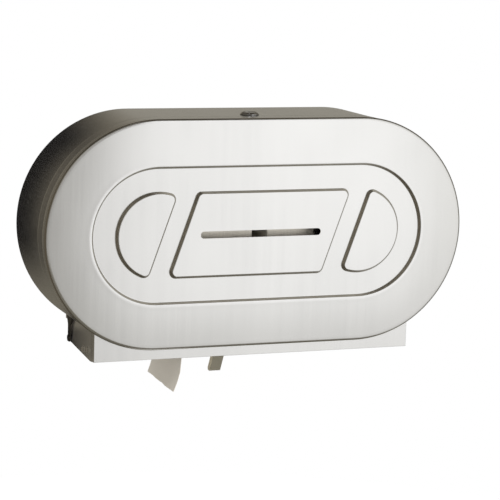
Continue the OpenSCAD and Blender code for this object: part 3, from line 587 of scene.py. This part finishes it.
def moon_outline(grow, side):
    """A half-moon field's outline, moved outwards by grow. side is -1 left and 1 right."""
    r = FIELD_CORNER_R + grow
    flat_x = (END_X - MIDDLE_W / 2 - GROOVE_W) * math.cos(FIELD_SLANT)
    corner_x = flat_x - FIELD_CORNER_R
    corner_y = math.sqrt((MOON_R - FIELD_CORNER_R) ** 2 - corner_x ** 2)
    meet = math.degrees(math.atan2(corner_y, corner_x))
    points = (
        arc(0, 0, MOON_R + grow, meet, 360 - meet, 72)[:-1]
        + arc(corner_x, -corner_y, r, -meet, 0, 12)
        + arc(corner_x, corner_y, r, 0, meet, 12)[:-1]
    )
    c, s = math.cos(FIELD_SLANT), math.sin(FIELD_SLANT)
    return [(side * (x * c + y * s - END_X), side * (y * c - x * s)) for x, y in points]


def slot_outline():
    r = SLOT_H / 2
    x = SLOT_W / 2 - r
    return arc(x, 0, r, -90, 90, 14) + arc(-x, 0, r, 90, 270, 14)


def takes_painted_shade(first, second):
    """Whether a strip of the section, on the ring's wall or the rim, takes the darker steel of
    painted shade.
    """
    (d0, out0), (d1, out1) = first, second
    on_ring = d1 <= RING_R + NEAR and d0 >= RING_R - RING_WALL - NEAR
    rim_d = COVER_R + ROLLED_EDGE - RIM_R * PAINTED_SHADE_RIM
    on_rim = min(d0, d1) > rim_d and min(out0, out1) > RIM_OUT - RIM_R - NEAR
    return on_ring or on_rim


def raised_field(bm, outline):
    """Walls of a raised field. Returns its foot and top loops."""
    half = FIELD_WALL / 2
    profile = rounded([
        (half + FIELD_TOE, RING_FLOOR), (half, RING_FLOOR),
        (-half, FIELD_TOP), (-half - FIELD_TOE, FIELD_TOP),
    ], [PRESS_R, PRESS_R], PRESS_STEPS)
    loops = [loop_of(bm, outline(grow), out) for grow, out in profile]
    for i, (first, second) in enumerate(zip(loops, loops[1:])):
        on_wall = PRESS_STEPS - 1 <= i < len(loops) - PRESS_STEPS
        # painted shade: the field's wall takes the darker second material
        bridge(bm, first, second, int(on_wall))
    return loops[0], loops[-1]


def add_cover():
    bm = bmesh.new()
    path, line = stations(), skirt_line()
    lip = max(j for j, (d, out) in enumerate(line) if out > LIP_OUT - NEAR)
    rows = [
        [bm.verts.new(at(x + nx * d, ny * d, out)) for d, out in line] for x, nx, ny in path
    ]
    in_cut = [ny < 0 and abs(x + nx * COVER_R) < CUT_X - NEAR for x, nx, ny in path]
    for i, row in enumerate(rows):
        after = (i + 1) % len(rows)
        for j in range(len(line) - 1):
            if j >= lip and (in_cut[i] or in_cut[after]):
                continue
            face = bm.faces.new((row[j], rows[after][j], rows[after][j + 1], row[j + 1]))
            # painted shade: strips on the ring's wall and the rim take the darker second material
            face.material_index = takes_painted_shade(line[j], line[j + 1])
    feet = []
    for outline in (middle_outline, lambda g: moon_outline(g, -1), lambda g: moon_outline(g, 1)):
        foot, top = raised_field(bm, outline)
        feet.append(foot)
        if outline is middle_outline:
            fill(bm, top, loop_of(bm, slot_outline(), FIELD_TOP))
        else:
            bm.faces.new(top)
    fill(bm, [row[0] for row in rows], *feet)
    bmesh.ops.delete(bm, geom=[v for v in bm.verts if not v.link_faces], context="VERTS")
    bmesh.ops.recalc_face_normals(bm, faces=bm.faces)
    widest = max(bm.faces, key=lambda f: f.calc_area())
    if widest.normal.y > 0:  # the face has to look out from the wall
        bmesh.ops.reverse_faces(bm, faces=bm.faces)
    cover = piece("cover_shell", bm, "cover_body", cover_steel, "cover", smooth_angle=40)
    # the second material is the darker steel of painted shade
    cover.data.materials.append(shade_painted_steel)
    sheet = cover.modifiers.new("sheet", "SOLIDIFY")
    sheet.thickness = SHEET * MM
    sheet.offset = -1
    sheet.use_even_offset = True
    apply_modifiers(cover, smooth_angle=50)
    even_normals(cover)


add_cover()


# ---- Lock head ----

HEAD_FLANGE = 1.5  # how far the lock head stands out past its barrel
HEAD_SEAT = 0.02  # gap under the head
PLUG_GAP = 0.05
PAINTED_SHADOW_RING_W = 0.9  # width of the painted shadow ring round the plug
PAINTED_SHADOW_LINE = 0.75  # height of the painted shadow line under the head


def add_lock_head():
    low, high = drawn("lock_housing")
    plug_low, plug_high = drawn("lock_plug")
    head_r = (high[0] - low[0]) / 2
    barrel_r = head_r - HEAD_FLANGE
    bore_r = (plug_high[0] - plug_low[0]) / 2 + PLUG_GAP
    out = (low[2] + high[2]) / 2
    foot, crest = low[1], high[1]
    seat = COVER_R + HEAD_SEAT
    # the head's section, from the barrel's foot over the crest and down into the bore
    profile = rounded([
        (bore_r, foot), (barrel_r, foot), (barrel_r, seat), (head_r - 0.5, seat),
        (head_r, COVER_R + 0.9), (head_r - 2.6, crest),
        (bore_r + 1.5, crest - 0.1), (bore_r + 0.5, crest - 1.9), (bore_r, crest - 2.0),
        (bore_r, foot),
    ], [0.3, 0, 0, 0.5, 1.6, 0.9, 0.3, 0.2], steps=7)
    bm = bmesh.new()
    lathe(bm, profile, Vector((0, -out, 0)), Z_AXIS, (X_AXIS, Y_AXIS), turns=72)
    # painted shadow: faces close round the plug and low on the head take the near-black second
    # material
    for face in bm.faces:
        spot = face.calc_center_median() / MM
        in_painted_shadow_ring = math.hypot(spot.x, spot.y + out) < bore_r + PAINTED_SHADOW_RING_W
        face.material_index = int(in_painted_shadow_ring or spot.z < COVER_R + PAINTED_SHADOW_LINE)
    bezel = piece("lock_bezel", bm, "cover_body", finishes["bright_steel"], "lock_housing",
                  smooth_angle=45)
    bezel.data.materials.append(painted_shadow_steel)


add_lock_head()


# ---- Rolls ----

CORE_GAP = 0.3
ROLL_BEVEL = 1.2
ROLL_BEVEL_MIDDLE = 0.35
ROLL_SEAM = 0.5  # where the section starts on the bore, from the rear end
ROLL_RINGS = 26
WIND_DEPTH = 0.35  # how unevenly the layers end
WIND_RATE = 0.35
END_APART = 7.0  # keeps the two ends' noise different


def add_roll(side_name):
    node = "tissue_roll_" + side_name
    low, high = drawn(node)
    core_low, core_high = drawn("core_tube_" + side_name)
    centre_x = (low[0] + high[0]) / 2
    outer_r = (high[0] - low[0]) / 2
    inner_r = (core_high[0] - core_low[0]) / 2 + CORE_GAP
    bevel, middle = ROLL_BEVEL, ROLL_BEVEL_MIDDLE

    def end_face(end, sign):
        """The unevenly wound end, from the core out to the rounded edge."""
        points = []
        for i in range(ROLL_RINGS + 1):
            r = inner_r + (outer_r - bevel - inner_r) * i / ROLL_RINGS
            wound = noise.noise(Vector((r * WIND_RATE, sign * END_APART, centre_x)))
            points.append((r, end - sign * WIND_DEPTH * (1 - wound) / 2))
        return points

    start = (inner_r, low[2] + ROLL_SEAM)
    rear_edge = [(outer_r - middle, low[2] + middle), (outer_r, low[2] + bevel)]
    front_edge = [(outer_r, high[2] - bevel), (outer_r - middle, high[2] - middle)]
    front = end_face(high[2], 1)[::-1]
    profile = [start, *end_face(low[2], -1), *rear_edge, *front_edge, *front, start]
    bm = bmesh.new()
    lathe(bm, profile, Vector((centre_x, 0, 0)), -Y_AXIS, (X_AXIS, Z_AXIS), turns=128)
    material = paper("roll_paper_" + side_name, ROLL_PAPER, centre_x)
    piece("paper_roll_" + side_name, bm, "roll_" + side_name, material, node, smooth_angle=60)


add_roll("left")
add_roll("right")


# ---- Tail: a hanging sheet of tissue ----

ROLL_GAP = 0.6
STRIP_GAP = 0.9  # from the tear strip's edge, where the tail hangs down
TAIL_CURL_R = 130.0
TAIL_LOOSE = 30  # path length over which the hanging end gets loose
TAIL_TWIST = 1.92  # how far the front and rear corners turn out of line
TAIL_FRONT_DROP = 52.6
TAIL_REAR_DROP = 48.5
TAIL_ROWS = 64
TAIL_COLUMNS = 24
TAIL_T = 0.35


def tail_frame():
    """Where the tail leaves the roll, where it hangs from, the panel's foot, and its edges."""
    roll_low, roll_high = drawn("tissue_roll_left")
    strip_low, strip_high = drawn("tear_strips")
    panel_y = drawn("access_panel")[0][1]
    centre_x, roll_r = (roll_low[0] + roll_high[0]) / 2, (roll_high[0] - roll_low[0]) / 2
    reach = roll_r + ROLL_GAP
    hang_x, hang_y = strip_low[0] - STRIP_GAP, strip_high[1]
    dx = hang_x - centre_x
    off = math.atan2(hang_y, dx) + math.acos(reach / math.hypot(dx, hang_y))
    leave = (centre_x + reach * math.cos(off), reach * math.sin(off))
    return leave, (hang_x, hang_y), panel_y, (roll_low[2], roll_high[2])


def tear(v):
    """How far the torn end strays from a straight line, v of the way to the front."""
    return 0.5 * noise.noise(Vector((v * 14, 3.1, 0))) + 0.25 * math.sin(v * 170)


def ripple(v, s):
    """The loose end's waves, v of the way to the front and at the path length s."""
    return 0.5 * math.sin(v * 5.2 + 0.7) + 0.3 * math.sin(v * 13 + s * 0.05)


def add_tail():
    leave, hang, panel_y, outs = tail_frame()
    straight = math.hypot(hang[0] - leave[0], hang[1] - leave[1])

    def along(s):
        """The tail's middle line at the path length s."""
        if s <= straight:
            t = s / straight
            return leave[0] + (hang[0] - leave[0]) * t, leave[1] + (hang[1] - leave[1]) * t
        a = (s - straight) / TAIL_CURL_R
        return hang[0] - TAIL_CURL_R * (1 - math.cos(a)), hang[1] - TAIL_CURL_R * math.sin(a)

    def reach(drop):
        """The path length down to drop below the panel's foot."""
        return straight + TAIL_CURL_R * math.asin((hang[1] - panel_y + drop) / TAIL_CURL_R)

    bm = bmesh.new()
    grid = []
    for j in range(TAIL_COLUMNS + 1):
        v = j / TAIL_COLUMNS
        out = outs[0] + (outs[1] - outs[0]) * v
        drop = TAIL_REAR_DROP + (TAIL_FRONT_DROP - TAIL_REAR_DROP) * v
        length = reach(drop + tear(v))
        column = []
        for i in range(TAIL_ROWS + 1):
            s = length * i / TAIL_ROWS
            x, y = along(s)
            loose = max(0.0, min(1.0, (s - straight) / TAIL_LOOSE))
            x += loose ** 2 * TAIL_TWIST * (2 * v - 1) + loose * ripple(v, s)
            column.append(bm.verts.new(at(x, y, out)))
        grid.append(column)
    for first, second in zip(grid, grid[1:]):
        for i in range(TAIL_ROWS):
            bm.faces.new((first[i], first[i + 1], second[i + 1], second[i]))
    tail = piece("paper_tail", bm, "root", tail_tissue, "tissue_tail", smooth_angle=60)
    sheet = tail.modifiers.new("sheet", "SOLIDIFY")
    sheet.thickness = TAIL_T * MM
    sheet.offset = 0
    apply_modifiers(tail, smooth_angle=60)
    length = reach((TAIL_FRONT_DROP + TAIL_REAR_DROP) / 2)
    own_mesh(tail)


# ---- Rigid pieces: the CAD's own shapes with softened edges ----

SAME_PLACE_M = 2e-6
FLAT_DEG = 0.8
CORNER_DEG = 35


def soft_edges(node, width, material):
    """Copies a CAD node's mesh, rounds its edges and lets the copy stand for it."""
    bm = bmesh.new()
    bm.from_mesh(nodes[node].data)
    bmesh.ops.remove_doubles(bm, verts=bm.verts, dist=SAME_PLACE_M)
    bmesh.ops.dissolve_limit(
        bm, angle_limit=math.radians(FLAT_DEG), verts=bm.verts, edges=bm.edges,
    )
    obj = piece(node + "_soft", bm, body_of[node], material, node, smooth_angle=CORNER_DEG)
    bevel = obj.modifiers.new("edges", "BEVEL")
    bevel.width = width * MM
    bevel.segments = 2
    bevel.limit_method = "ANGLE"
    bevel.angle_limit = math.radians(CORNER_DEG)
    bevel.use_clamp_overlap = True
    apply_modifiers(obj, smooth_angle=45)
    even_normals(obj)


SOFT_EDGES = {
    "chute_apron": 0.35, "chute_side_left": 0.2, "chute_side_right": 0.2, "access_panel": 0.2,
    "pull_tab": 0.3, "front_rail": 0.2, "rear_rail": 0.2, "keeper_bracket": 0.3,
    "hinge_arm_left": 0.25, "hinge_arm_right": 0.25, "lock_cam": 0.25, "back_plate": 0.25,
    "hub_disc_left": 0.5, "hub_disc_right": 0.5, "lock_plug": 0.2,
}
OWN_FINISH = {
    "chute_side_left": side_steel, "chute_side_right": side_steel, "chute_apron": apron_steel,
    "back_plate": plate_steel, "pull_tab": tab_steel,
    # painted shade: the hinge arms get near-black steel to sit dark on the shaded side
    "hinge_arm_left": arm_shade_painted_steel, "hinge_arm_right": arm_shade_painted_steel,
    # painted shade: dark steel on the hinge pins and clips, and black plastic on the washers,
    # keep them dark on the shaded side
    "hinge_pins": pin_shade_painted_steel, "hinge_clips": pin_shade_painted_steel,
    "hinge_washers": finishes["black_plastic"], "stop_rivets": finishes["bright_steel"],
}


def finish_of(node):
    return OWN_FINISH.get(node) or finishes[slot_of[node]]


for node, width in SOFT_EDGES.items():
    soft_edges(node, width, finish_of(node))

add_tail()

for node, obj in nodes.items():
    if obj.hide_render:
        continue
    obj.data.materials.clear()
    obj.data.materials.append(finish_of(node))


# ---- Floor, light and surroundings ----

FLOOR_DROP = 0.45
FLOOR_R = 1.1
FLOOR_GREY = 0.50
FLOOR_GLOW = 0.66
FILL = (0.70, 0.692, 0.672)
KEY_FROM = (35, 40)  # azimuth and elevation
KEY_MORE = 0.30  # how much brighter the world is there
KEY_FADE = -0.2  # cosine of the angle from it at which that ends
SOFT_BOX_FROM = (24, 1)
SOFT_BOX_FAR = 2.4
SOFT_BOX_SIZE = (1.5, 0.7)
SOFT_BOX_COLOUR = (1.0, 0.99, 0.97)
SOFT_BOX_WATTS = 26

# Grey flags that steel reflects round the white studio. Each has its azimuth, from the front
# towards +x, from and to, its elevation from and to, the width of its soft edge, in degrees,
# and its colour. A later flag lies over the earlier ones.
FLAGS = (
    (-200, 11.6, -70, 90, 4.5, (0.345, 0.337, 0.322)),
    (-200, -48, -70, 90, 20, (0.20, 0.19, 0.165)),
    (31, 100, -70, 60, 8, (0.74, 0.735, 0.715)),
    (-200, 100, -90, -15, 6, (0.57, 0.565, 0.55)),
    (-200, 7, -90, -17, 9, (0.16, 0.148, 0.118)),
    (-190, -58, -90, 24, 16, (0.13, 0.115, 0.092)),
    (100, 180, -90, 90, 16, (0.285, 0.268, 0.228)),
    (68, 142, -90, 90, 14, (0.13, 0.12, 0.098)),
    (168, 262, -90, 90, 14, (0.18, 0.159, 0.122)),
    (140, 225, -90, -10, 10, (0.145, 0.131, 0.102)),
    (-180, 180, 58, 91, 12, (0.055, 0.048, 0.038)),
    (120, 262, 28, 91, 14, (0.08, 0.072, 0.058)),
    (-180, 180, -91, -42, 14, (0.13, 0.12, 0.095)),
)
FLAGS_FAR = 4.0
FLAG_STEP = 5
FLOOR_RINGS = 12
FLOOR_GAP = 0.002

# A dark card that steel reflects, upright round the object's left end, in drawn millimetres.
# It fades out from CARD_EDGE[0] to CARD_EDGE[1] beyond the cover, and above and below the
# end's middle. Below CHUTE_Y its distance is from the chute's side, at CHUTE_X, instead.
CARD_OUT = -14
CARD_STEP = 6
CARD_X = range(-346, -106, CARD_STEP)
CARD_Y = range(-176, 214, CARD_STEP)
CARD_SHADE = (0.003, 0.0022, 0.002)
CARD_EDGE = (20.0, 66.0)
CARD_INSIDE = -12  # how far it reaches in behind the cover
CARD_TOP = (94, 42)  # where it ends, in degrees up from the end's middle, and the fade's width
CARD_BOTTOM = (50, 44)  # the same, in degrees down
CHUTE_Y = -136
CHUTE_X = -205
CHUTE_FADE = 1.5


def direction(azimuth, elevation):
    a, e = math.radians(azimuth), math.radians(elevation)
    return Vector((math.sin(a) * math.cos(e), -math.cos(a) * math.cos(e), math.sin(e)))


def shown_white(tree, light, lit):
    """Shows light to camera, glossy and transmission rays, and lit to all others."""
    rays = tree.nodes.new("ShaderNodeLightPath").outputs
    seen = rays["Is Camera Ray"]
    for kind in ("Is Glossy Ray", "Is Transmission Ray"):
        either = tree.nodes.new("ShaderNodeMath")
        either.operation = "MAXIMUM"
        tree.links.new(seen, either.inputs[0])
        tree.links.new(rays[kind], either.inputs[1])
        seen = either.outputs[0]
    mixed = tree.nodes.new("ShaderNodeMixShader")
    tree.links.new(seen, mixed.inputs[0])
    tree.links.new(lit, mixed.inputs[1])
    tree.links.new(light, mixed.inputs[2])
    return mixed.outputs[0]


def add_world():
    """A soft fill, a little brighter on the key's side, that is seen and reflected as white."""
    world = bpy.data.worlds.new("studio")
    bpy.context.scene.world = world
    world.use_nodes = True
    tree = world.node_tree
    soft = tree.nodes["Background"]
    towards = tree.nodes.new("ShaderNodeTexCoord").outputs["Generated"]
    facing = tree.nodes.new("ShaderNodeVectorMath")
    facing.operation = "DOT_PRODUCT"
    tree.links.new(towards, facing.inputs[0])
    facing.inputs[1].default_value = direction(*KEY_FROM)
    ramp = tree.nodes.new("ShaderNodeMapRange")
    ramp.interpolation_type = "SMOOTHSTEP"
    tree.links.new(facing.outputs["Value"], ramp.inputs["Value"])
    ramp.inputs["From Min"].default_value = KEY_FADE
    ramp.inputs["To Min"].default_value = 1.0
    ramp.inputs["To Max"].default_value = 1.0 + KEY_MORE
    soft.inputs["Color"].default_value = (*FILL, 1)
    tree.links.new(ramp.outputs["Result"], soft.inputs["Strength"])
    white = tree.nodes.new("ShaderNodeBackground")
    white.inputs["Color"].default_value = (1, 1, 1, 1)
    shown = shown_white(tree, white.outputs[0], soft.outputs[0])
    tree.links.new(shown, tree.nodes["World Output"].inputs["Surface"])


def stage_piece(name, bm, material):
    """Turns a bmesh into a part of the stage."""
    mesh = bpy.data.meshes.new(name)
    bm.to_mesh(mesh)
    bm.free()
    mesh.materials.append(material)
    obj = bpy.data.objects.new(name, mesh)
    bpy.context.scene.collection.objects.link(obj)
    return obj


def add_floor():
    """A pale floor that glows where it is seen, and keeps the object's shadow."""
    bm = bmesh.new()
    bmesh.ops.create_circle(bm, cap_ends=True, radius=FLOOR_R, segments=96)
    s = Shader("floor")
    grey = (FLOOR_GREY, FLOOR_GREY, FLOOR_GREY, 1)
    s.finish(Base_Color=grey, Roughness=0.9, Specular_IOR_Level=0.0)
    white = s.add("ShaderNodeEmission")
    white.inputs["Strength"].default_value = FLOOR_GLOW
    both = s.add("ShaderNodeAddShader")
    s.tree.links.new(white.outputs[0], both.inputs[0])
    s.tree.links.new(s.principled.outputs[0], both.inputs[1])
    shown = shown_white(s.tree, both.outputs[0], s.principled.outputs[0])
    s.tree.links.new(shown, s.tree.nodes["Material Output"].inputs["Surface"])
    floor = stage_piece("floor", bm, s.material)
    floor.location.z = cad_box[0][2] - FLOOR_DROP


def eased(part):
    """A smooth step from 0 to 1."""
    part = max(0.0, min(1.0, part))
    return part * part * (3 - 2 * part)


def flag_at(azimuth, elevation):
    """The colour that the flags show in a direction, and how much they cover."""
    colour, cover = Vector((1, 1, 1)), 0.0
    for a0, a1, e0, e1, soft, shade in FLAGS:
        turned = (azimuth - (a0 + a1) / 2 + 180) % 360 - 180
        inside = min((a1 - a0) / 2 - abs(turned), elevation - e0, e1 - elevation)
        part = eased(inside / soft + 0.5)
        colour = colour.lerp(Vector(shade), part)
        cover = max(cover, part)
    return colour, cover


def flag_material():
    """Glows in the shade of its points, and is clear where they don't cover."""
    s = Shader("flag")
    s.tree.nodes.remove(s.principled)
    shade = s.add("ShaderNodeVertexColor", layer_name="shade")
    glow = s.add("ShaderNodeEmission")
    s.tree.links.new(shade.outputs["Color"], glow.inputs["Color"])
    mixed = s.add("ShaderNodeMixShader")
    s.tree.links.new(shade.outputs["Alpha"], mixed.inputs[0])
    s.tree.links.new(s.add("ShaderNodeBsdfTransparent").outputs[0], mixed.inputs[1])
    s.tree.links.new(glow.outputs[0], mixed.inputs[2])
    s.tree.links.new(mixed.outputs[0], s.tree.nodes["Material Output"].inputs["Surface"])
    s.material.cycles.emission_sampling = "NONE"  # it is reflected, and isn't a lamp
    return s.material


def shaded_grid(name, rows, closed):
    """A reflection-only sheet from rows of (place, colour, cover). closed joins a row's ends."""
    bm = bmesh.new()
    layer = bm.verts.layers.float_color.new("shade")
    made = []
    for row in rows:
        verts = []
        for place, colour, cover in row:
            vert = bm.verts.new(place)
            vert[layer] = (*colour, cover)
            verts.append(vert)
        made.append(verts)
    for first, second in zip(made, made[1:]):
        for i in range(len(first) if closed else len(first) - 1):
            j = (i + 1) % len(first)
            bm.faces.new((first[i], first[j], second[j], second[i]))
    sheet = stage_piece(name, bm, flag_material())
    for kind in ("camera", "diffuse", "transmission", "volume_scatter", "shadow"):
        setattr(sheet, "visible_" + kind, False)


def add_flags():
    """The flags on a sphere round the object, and again close above the floor."""
    around = range(-180, 180, FLAG_STEP)
    shaded_grid("flags", [
        [(direction(a, e) * FLAGS_FAR, *flag_at(a, e)) for a in around]
        for e in range(-90 + FLAG_STEP, 90, FLAG_STEP)
    ], closed=True)
    height = cad_box[0][2] - FLOOR_DROP + FLOOR_GAP
    rings = [FLOOR_R * i / FLOOR_RINGS for i in range(1, FLOOR_RINGS + 1)]
    downs = [math.degrees(math.atan2(height, r)) for r in rings]
    shaded_grid("floor_flags", [
        [(direction(a, e) * (height / math.sin(math.radians(e))), *flag_at(a, e)) for a in around]
        for e in downs
    ], closed=True)


def card_cover(x, y):
    """How much the card covers at a drawn point."""
    by_cover = y > CHUTE_Y
    beyond = math.hypot(x + END_X, y) - COVER_R if by_cover else (CHUTE_X - x) * CHUTE_FADE
    if beyond < CARD_INSIDE:
        return 0.0
    part = eased((CARD_EDGE[1] - beyond) / (CARD_EDGE[1] - CARD_EDGE[0]))
    if not by_cover:
        return part
    turn = math.degrees(math.atan2(y, -x - END_X))
    top, bottom = (CARD_TOP[0] - turn) / CARD_TOP[1], (turn + CARD_BOTTOM[0]) / CARD_BOTTOM[1]
    return part * (eased(top) * eased(bottom))


def add_card():
    shaded_grid("card", [
        [(at(x, y, CARD_OUT), CARD_SHADE, card_cover(x, y)) for x in CARD_X] for y in CARD_Y
    ], closed=False)


def add_lamp():
    """A soft box level with the object, so that some light reaches through the slot."""
    data = bpy.data.lights.new("soft_box", "AREA")
    data.shape = "RECTANGLE"
    data.size, data.size_y = SOFT_BOX_SIZE
    data.energy = SOFT_BOX_WATTS
    data.color = SOFT_BOX_COLOUR
    lamp = bpy.data.objects.new("soft_box", data)
    bpy.context.scene.collection.objects.link(lamp)
    spot = direction(*SOFT_BOX_FROM) * SOFT_BOX_FAR
    lamp.location = spot
    lamp.rotation_euler = spot.to_track_quat("Z", "Y").to_euler()
    lamp.visible_camera = False
    lamp.visible_glossy = False


add_world()
add_lamp()
add_floor()
add_flags()
add_card()
bpy.context.scene.view_settings.view_transform = "Standard"
